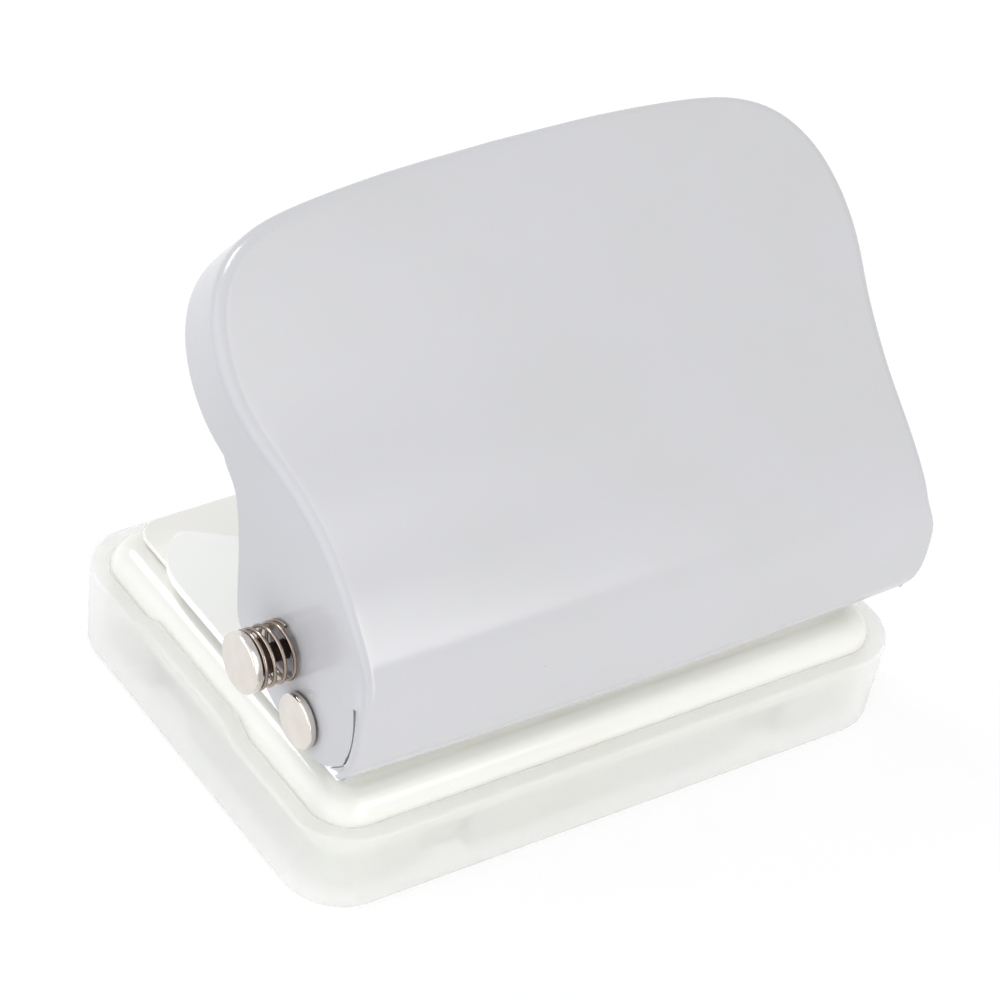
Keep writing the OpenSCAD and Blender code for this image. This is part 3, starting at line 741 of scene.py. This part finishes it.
returnCoil = {"wire": 0.7, "radius": 3.2, "turns": 7.0, "flat": 1.2, "height": 14.25, "low": 24.05}
springs = [windSpring("returnSpring1", returnCoil)]
springs[0].location = (holeX[0] * mm, holeY * mm, returnCoil["low"] * mm)
settle(springs[0])
for i in range(1, len(holeX)):
    springs.append(copyPiece(springs[0], "returnSpring%d" % (i + 1), (pitch * i, 0, 0)))
for i, spring in enumerate(springs):
    finishPiece(spring, drawnWire, "base", ["return_spring_%d" % (i + 1)], 60, False)
    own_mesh(spring)

lockCoil = {"wire": 0.6, "radius": 4.05, "turns": 4.2, "flat": 1.1, "height": 5.75, "start": -46.95}
lockSpring = windSpring("lockSpring", lockCoil)
lockSpring.rotation_euler = (0, -math.pi / 2, 0)
lockSpring.location = (lockCoil["start"] * mm, lockSpot[0] * mm, lockSpot[1] * mm)
settle(lockSpring)
# the lock spring gets the wire metal darkened with painted shade
finishPiece(lockSpring, shadedLockWire, "handle", ["lock_spring"], 60, False)
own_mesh(lockSpring)

lockSizes = {"start": 44.4, "tipEnd": 45.4, "tip": 1.7, "shank": 1.4, "collarEnd": 49.8, "collar": 2.6,
    "headLow": 52.8, "headHigh": 54.3, "head": 4.35, "crown": 0.12, "chamfer": 0.25, "centre": 0.3,
    "round": 0.35}


def buildLock(s):
    length = s["headHigh"] - s["start"]
    tip = s["tipEnd"] - s["start"]
    collar = s["collarEnd"] - s["start"]
    head = s["headLow"] - s["start"]
    profile = softProfile([(s["tip"] - s["chamfer"], 0), (s["tip"], s["chamfer"]), (s["tip"], tip),
        (s["shank"], tip), (s["shank"], collar), (s["collar"], collar), (s["collar"], head), (s["head"], head),
        (s["head"], length - s["crown"]), (s["centre"], length)], s["round"], 4)
    return addTurned("lockButton", profile, (-s["start"], *lockSpot), (0, -math.pi / 2, 0), 64)


lockButton = buildLock(lockSizes)
finishPiece(lockButton, nickelPlate, "lock", ["lock_button"])
# the lock's collar and shank, inside the spring, take the near-black painted shade
lockButton.data.materials.append(lockShankShade)
for face in lockButton.data.polygons:  # the head is plated; the collar and shank behind it get painted shade
    face.material_index = 1 if face.center.x > (slack - lockSizes["headLow"]) * mm else 0
print("punches, springs and lock done")


# handle: one pressed sheet; its side view, its outline seen square to the grip, and how tight the fold is;
# points are from the pivot
handleSizes = {
    "face": [(-10.7, -2), (-12.4, 0.4), (-13.5, 3.2), (-14, 6.5), (-14.1, 10), (-13.8, 13), (-13, 15.4),
        (-11.6, 17.9), (-8.8, 21.1), (-4, 25.6), (3.9, 31.8), (12.9, 37.8), (19.1, 42.4), (27.5, 49.3),
        (37.6, 57.2), (42.4, 60.9)],
    "tilt": 37.2,
    "outline": [(46.9, -40), (46.9, 0), (46.9, 15), (47.5, 22.3), (48.66, 28.4), (50.64, 36), (51.3, 41.2),
        (51, 46.6), (49.5, 52.3), (46.5, 57.2), (41.8, 60.7), (34.2, 62.9), (18.8, 64.3), (0, 64.7)],
    "freeEdge": [(20.55, 30.54), (18.8, 26.4), (18.4, 21.5), (18.3, 14), (18.2, 7.5), (17.6, 4), (15, 1.2),
        (11, -1.1), (5.5, -3.5), (0, -4.8), (-4.1, -4.2), (-7.1, -2.85), (-9.5, -1.75)],
    "lipTop": 22.9, "lipDepth": 10.5,
    "sheet": 1.2, "edge": 0.28,
    "foldLow": 1.3, "foldTop": 1.9, "foldFrom": 20, "foldTo": 62,
    "stripFold": 0.9, "stripTop": 13.4, "stripBlend": 3, "stripOut": 1.0,
    "flangeRoll": 2.6, "flangeShare": 0.3,
    "bow": 0.7, "bowTop": 9.0,
    "slit": [(-10.8, 10.5), (-11.2, 8.8), (-11.5, 6.7), (-11.5, 4.4), (-11.1, 2.3), (-10.2, 0.1),
        (-8.7, -1.5), (-7.1, -2.8), (-6, -3.8)],
    "slitWide": 0.75, "slitEnd": 0.2, "slitTaper": (-0.3, 1.5),
    "cutFrom": 44, "cutTo": 49, "slitCut": 6, "pinHole": 2.55, "lockHole": 1.45,
    "perSpan": 24, "rows": 96, "foldSteps": 8, "flangeSteps": 10,
}


def lengthsAlong(curve):
    sums = [0.0]
    for a, b in zip(curve, curve[1:]):
        sums.append(sums[-1] + math.dist(a, b))
    return sums


def lookUp(keys, values, key):  # straight-line reading of a table with rising keys
    if key <= keys[0]:
        return values[0]
    for i in range(1, len(keys)):
        if key <= keys[i]:
            t = (key - keys[i - 1]) / (keys[i] - keys[i - 1] or 1)
            if isinstance(values[0], tuple):
                return tuple(a + (b - a) * t for a, b in zip(values[i - 1], values[i]))
            return values[i - 1] + (values[i] - values[i - 1]) * t
    return values[-1]


def easeStep(low, high, value):  # 0 below low, 1 above high, smooth between
    t = min(max((value - low) / (high - low), 0.0), 1.0)
    return t * t * (3 - 2 * t)


def handlePoints(h, probe=0.6, tiny=1e-6):  # probe: how far apart a slope is read
    tilt = math.radians(h["tilt"])
    up = (math.cos(tilt), math.sin(tilt))
    out = (-math.sin(tilt), math.cos(tilt))
    face = throughPoints(h["face"], h["perSpan"])
    faceRun = lengthsAlong(face)
    faceUp = [y * up[0] + z * up[1] for y, z in face]
    outline = throughPoints(h["outline"], h["perSpan"])
    outline = [(x, s) for x, s in outline if s > faceUp[0]]
    half = lambda s: lookUp([p[1] for p in outline], [p[0] for p in outline], s)

    def onFace(run):
        run = min(max(run, 0.0), faceRun[-1])
        here = lookUp(faceRun, face, run)
        a = lookUp(faceRun, face, max(run - probe, 0.0))
        b = lookUp(faceRun, face, min(run + probe, faceRun[-1]))
        step = Vector((0, b[0] - a[0], b[1] - a[1])).normalized()
        return Vector((0, here[0], here[1])), step, Vector((0, -step.z, step.y))

    # the left fold line, laid flat: half length and distance up the sheet, evenly spaced
    flat = [(x, lookUp(faceUp, faceRun, s)) for x, s in outline]
    flat[0] = (flat[0][0], 0.0)
    flatRun = lengthsAlong(flat)
    rows = h["rows"]
    fold = [lookUp(flatRun, flat, flatRun[-1] * j / rows) for j in range(rows + 1)]
    rings = []
    inset = []
    steps = h["foldSteps"]
    edge = list(reversed(throughPoints(h["freeEdge"], 12)))
    edgeRun = lengthsAlong(edge)
    lipLow = h["lipTop"] - h["lipDepth"]
    lipFrom = edge[-1][0] * up[0] + edge[-1][1] * up[1]
    lastLow = max(j for j in range(rows + 1) if lookUp(faceRun, faceUp, fold[j][1]) <= lipFrom)
    lowRun = lookUp(faceUp, faceRun, lipFrom)
    for j, (x, run) in enumerate(fold):
        a, b = fold[max(j - 1, 0)], fold[min(j + 1, rows)]
        way = Vector((b[0] - a[0], b[1] - a[1])).normalized()
        aside = Vector((way.y, -way.x))  # outward on the flat sheet
        if j == rows:
            aside = Vector((0, 1))
        height = onFace(run)[0].z
        strip = 1 - easeStep(h["stripTop"] - h["stripBlend"], h["stripTop"] + h["stripBlend"], height)
        radius = h["foldLow"] + (h["foldTop"] - h["foldLow"]) * easeStep(h["foldFrom"], h["foldTo"], run)
        radius += (h["stripFold"] - radius) * strip
        wide = x + h["stripOut"] * strip
        q = (wide - radius * aside.x, run - radius * aside.y)
        inset.append(q)
        base, step, normal = onFace(q[1])
        base.x = -q[0]
        outward = (Vector((-1, 0, 0)) * aside.x + step * aside.y).normalized()
        column = []
        for k in range(1, steps + 1):
            angle = math.pi / 2 * k / steps
            rolled = base - normal * radius + outward * (radius * math.sin(angle))
            column.append(rolled + normal * (radius * math.cos(angle)))
        start = column[-1]
        if j <= lastLow:
            y, z = lookUp(edgeRun, edge, edgeRun[-1] * run / lowRun)
        else:
            s = lookUp(faceRun, faceUp, run)
            y, z = s * up[0] + lipLow * out[0], s * up[1] + lipLow * out[1]
        reach = math.hypot(y - start.y, z - start.z)
        near = min(h["flangeRoll"], reach * h["flangeShare"])
        count = h["flangeSteps"]
        shares = [near * 0.5 / max(reach, tiny), near / max(reach, tiny)]
        shares += [shares[1] + (1 - shares[1]) * k / (count - 2) for k in range(1, count - 1)]
        for share in shares:
            py = start.y + (y - start.y) * share
            pz = start.z + (z - start.z) * share
            if j <= lastLow:
                s = py * up[0] + pz * up[1]
                s0 = start.y * up[0] + start.z * up[1]
                px = -half(s) + (start.x + half(s0)) * max(0.0, 1 - share / max(shares[1], tiny))
            else:
                px = start.x + (-x - start.x) * share
            column.append(Vector((px, py, pz)))
        rings.append(column)
    return inset, rings, onFace


def buildHandle(h, apart=2e-9):  # apart: keeps rows of points distinct
    inset, rings, onFace = handlePoints(h)
    rows = h["rows"]
    # the grid's upper corners sit where the rounded outline runs at 45 degrees
    corner = max(j for j in range(2, rows - 2)
        if abs(inset[j + 1][1] - inset[j][1]) > abs(inset[j + 1][0] - inset[j][0]))
    across = 2 * (rows - corner)
    deselectAll()
    bpy.ops.mesh.primitive_grid_add(x_subdivisions=across, y_subdivisions=corner, size=1)
    handle = nameNewest("handleShell")
    left = [Vector((-x, run)) for x, run in inset[:corner + 1]]
    right = [Vector((-p.x, p.y)) for p in left]
    topLeft = [Vector((-x, run)) for x, run in inset[corner:]]
    top = topLeft + [Vector((-p.x, p.y)) for p in reversed(topLeft[:-1])]
    bottom = [left[0].lerp(right[0], i / across) for i in range(across + 1)]
    onEdge = {}
    for index, vertex in enumerate(handle.data.vertices):
        i, j = index % (across + 1), index // (across + 1)
        u, v = i / across, j / corner
        spot = (bottom[i] * (1 - v) + top[i] * v + left[j] * (1 - u) + right[j] * u
            - left[0] * (1 - u) * (1 - v) - right[0] * u * (1 - v)
            - left[-1] * (1 - u) * v - right[-1] * u * v)
        place, step, normal = onFace(spot.y)
        arch = max(0.0, 1 - (spot.x / bottom[0].x) ** 2)
        place += normal * h["bow"] * arch * (1 - easeStep(0, h["bowTop"], spot.y))
        vertex.co = Vector((spot.x, place.y + pivot[0], place.z + pivot[1])) * mm
        if i == 0:
            onEdge[index] = (j, -1)
        elif i == across:
            onEdge[index] = (j, 1)
        elif j == corner:
            onEdge[index] = (corner + min(i, across - i), -1 if i <= across / 2 else 1)
    # roll the rim over and draw out the flanges, one row of faces at a time
    startEdit(handle)
    bpy.ops.mesh.select_mode(type="EDGE")
    bpy.ops.mesh.select_all(action="DESELECT")
    work = bmesh.from_edit_mesh(handle.data)
    work.verts.ensure_lookup_table()
    for edge in work.edges:
        a, b = (v.index for v in edge.verts)
        edge.select_set(edge.is_boundary and a in onEdge and b in onEdge)
    bmesh.update_edit_mesh(handle.data)
    key = lambda co: tuple(round(c * 1e7) for c in co)
    known = {key(work.verts[index].co): spot for index, spot in onEdge.items()}
    for level in range(len(rings[0])):
        bpy.ops.mesh.extrude_edges_move(TRANSFORM_OT_translate={"value": (0, 0, 0)})
        work = bmesh.from_edit_mesh(handle.data)
        fresh = {}
        for vertex in work.verts:
            if vertex.select:
                j, side = known[key(vertex.co)]
                p = rings[j][level]
                vertex.co = Vector((p.x if side < 0 else -p.x, p.y + pivot[0], p.z + pivot[1])) * mm
                if j == rows:
                    vertex.co.x = 0
                vertex.co += Vector((0, 0, level * apart))
                fresh[key(vertex.co)] = (j, side)
        known = fresh
        bmesh.update_edit_mesh(handle.data)
    bpy.ops.mesh.select_all(action="SELECT")
    bpy.ops.mesh.remove_doubles(threshold=1e-6)
    bpy.ops.mesh.normals_make_consistent(inside=False)
    work = bmesh.from_edit_mesh(handle.data)
    grip = Vector((0, -12, 62)) * mm
    middle = min(work.faces, key=lambda f: (f.calc_center_median() - grip).length)
    if middle.normal.z < 0:
        bpy.ops.mesh.flip_normals()
    endEdit()
    runModifier(handle, "SOLIDIFY", thickness=h["sheet"] * mm, offset=-1.0, use_even_offset=False)
    softenEdges(handle, h["edge"], 2, 50)
    # relief slits beside the front wall, holes for the pivot pins and the lock
    middle = throughPoints(h["slit"], 6)
    slit = []
    for side in (-1, 1):
        edge = []
        for i, spot in enumerate(middle):
            a, b = middle[max(i - 1, 0)], middle[min(i + 1, len(middle) - 1)]
            wide = h["slitEnd"] + (h["slitWide"] - h["slitEnd"]) * easeStep(*h["slitTaper"], spot[1])
            step = Vector((b[0] - a[0], b[1] - a[1])).normalized() * side * wide / 2
            edge.append((spot[0] + step.y + pivot[0], spot[1] - step.x + pivot[1]))
        slit.append(edge)
    for side in (-1, 1):
        cutter = addShape("slit", slit[0] + slit[1][::-1], side * h["cutFrom"], side * h["slitCut"], True)
        combine(handle, cutter, "DIFFERENCE")
        profile = [(h["pinHole"], h["cutFrom"]), (h["pinHole"], h["cutTo"])]
        drill = addTurned("drill", profile, (0, *pivot), (0, side * math.pi / 2, 0), 64)
        combine(handle, drill, "DIFFERENCE")
    profile = [(h["lockHole"], h["cutFrom"]), (h["lockHole"], h["cutTo"])]
    drill = addTurned("drill", profile, (0, *lockSpot), (0, -math.pi / 2, 0), 48)
    combine(handle, drill, "DIFFERENCE")
    finishPiece(handle, greyEnamel, "handle", ["handle_shell"], 40)
    return handle


handle = buildHandle(handleSizes)
print("handle done,", len(handle.data.polygons), "faces")


# press plate: a band welded under the grip, a web, and a round bar that pushes the punches down
pressSizes = {"half": 41.8, "bar": (10.5, 16.6), "barRadius": 2.5, "barChamfer": 0.4, "barRound": 0.2,
    "thick": 1.2, "gap": 0.02, "bandFrom": -5, "bandTo": 8, "bandStep": 6, "webAt": -3, "webHalf": 0.75,
    "webOver": 1.04, "edge": 0.2}


def buildPress(p):
    half, bar, sheet = p["half"], p["bar"], handleSizes["sheet"]
    face = throughPoints(handleSizes["face"], handleSizes["perSpan"])
    inner, under = [], []
    for i, spot in enumerate(face):
        a, b = face[max(i - 1, 0)], face[min(i + 1, len(face) - 1)]
        step = Vector((b[0] - a[0], b[1] - a[1])).normalized()
        for depth, side in ((sheet + p["gap"], inner), (sheet + p["thick"], under)):
            side.append((spot[0] + depth * step.y, spot[1] - depth * step.x))
    picks = [i for i in range(0, len(face), p["bandStep"]) if p["bandFrom"] < inner[i][0] < p["bandTo"]]
    band = [inner[i] for i in picks] + [under[i] for i in reversed(picks)]
    band = [(y + pivot[0], z + pivot[1]) for y, z in band]
    press = addShape("pressPlate", band, -half, 2 * half, True)
    foot = under[picks[p["webAt"]]]
    way = Vector((foot[0] - bar[0], foot[1] - bar[1]))
    side = Vector((-way.y, way.x)).normalized() * p["webHalf"]
    tip = Vector(bar) + way * p["webOver"]
    web = [Vector(bar) + side, tip + side, tip - side, Vector(bar) - side]
    web = [(v.x + pivot[0], v.y + pivot[1]) for v in web]
    combine(press, addShape("web", web, -half, 2 * half, True), "UNION")
    thin = p["barRadius"] - p["barChamfer"]
    profile = softProfile([(thin, -half), (p["barRadius"], p["barChamfer"] - half),
        (p["barRadius"], half - p["barChamfer"]), (thin, half)], p["barRound"])
    rod = addTurned("rod", profile, (0, bar[0] + pivot[0], bar[1] + pivot[1]), (0, math.pi / 2, 0), 48)
    combine(press, rod, "UNION")
    softenEdges(press, p["edge"], 2, 60)
    finishPiece(press, zincPlate, "handle", ["press_plate"])


buildPress(pressSizes)
print("press plate done")


# studio: white floor that keeps the shadow, white all round, five soft lamps in metres and watts
studio = {"floorSize": 6, "floorHeight": -0.0002, "floorGlow": 1.04, "floorShare": 0.7, "skyLight": 0.585,
    "aim": (0, 0, 0.04)}
white = (1, 1, 1, 1)


def seenRays(tree):  # 1 for what the camera sees, straight, mirrored or through glass
    rays = addNode(tree, "ShaderNodeLightPath")
    seen = addNode(tree, "ShaderNodeMath", {"operation": "MAXIMUM"},
        {0: rays.outputs["Is Camera Ray"], 1: rays.outputs["Is Glossy Ray"]})
    seen = addNode(tree, "ShaderNodeMath", {"operation": "MAXIMUM"},
        {0: seen.outputs[0], 1: rays.outputs["Is Transmission Ray"]})
    return seen.outputs[0]


# matt paper roll: even and pale, it shows only the soft shadow
def paleFloor():
    material, tree = newMaterial("paleFloor")
    share = addNode(tree, "ShaderNodeMath", {"operation": "MULTIPLY", 1: studio["floorShare"]},
        {0: seenRays(tree)})
    paper = addNode(tree, "ShaderNodeBsdfDiffuse", {"Color": colour("#f6f6f6")})
    glow = addNode(tree, "ShaderNodeEmission", {"Color": white, "Strength": studio["floorGlow"]})
    mixed = addNode(tree, "ShaderNodeMixShader",
        links={0: share.outputs[0], 1: paper.outputs[0], 2: glow.outputs[0]})
    closeMaterial(tree, mixed)
    return material


deselectAll()
bpy.ops.mesh.primitive_plane_add(size=studio["floorSize"], location=(0, 0, studio["floorHeight"]))
floor = nameNewest("studioFloor")
settle(floor)
floor.data.materials.append(paleFloor())

world = bpy.data.worlds.new("studioWorld")
world.use_nodes = True
scene.world = world
worldTree = world.node_tree
worldTree.nodes.clear()
skyLight = addNode(worldTree, "ShaderNodeBackground", {"Color": white, "Strength": studio["skyLight"]})
skySeen = addNode(worldTree, "ShaderNodeBackground", {"Color": white, "Strength": 1.0})
sky = addNode(worldTree, "ShaderNodeMixShader",
    links={0: seenRays(worldTree), 1: skyLight.outputs[0], 2: skySeen.outputs[0]})
addNode(worldTree, "ShaderNodeOutputWorld", links={"Surface": sky.outputs[0]})

lamps = {
    "backTopSoftbox": {"place": (-0.24, 0.72, 0.95), "size": 0.4, "power": 5.0},
    "leftSoftbox": {"place": (-1.0, 0.05, 0.3), "size": 1.5, "power": 8.4, "tint": "#f4f7ff"},
    "frontSoftbox": {"place": (0.1, -1.1, 0.25), "size": 0.6, "power": 2.7},
    "sheenSoftbox": {"place": (0.33, -0.517, 0.963), "size": 0.3, "power": 0.65},
    "noseSoftbox": {"place": (0.3, -0.926, 0.682), "size": 0.49, "power": 3.9},
}
for name, lamp in lamps.items():
    lampData = bpy.data.lights.new(name, "AREA")
    lampData.shape = "SQUARE"
    lampData.size = lamp["size"]
    lampData.energy = lamp["power"]
    lampData.color = colour(lamp.get("tint", "#ffffff"))[:3]
    lampObject = bpy.data.objects.new(name, lampData)
    scene.collection.objects.link(lampObject)
    lampObject.location = lamp["place"]
    aim = Vector(studio["aim"]) - Vector(lamp["place"])
    lampObject.rotation_euler = aim.to_track_quat("-Z", "Y").to_euler()
print("studio done")

deselectAll()
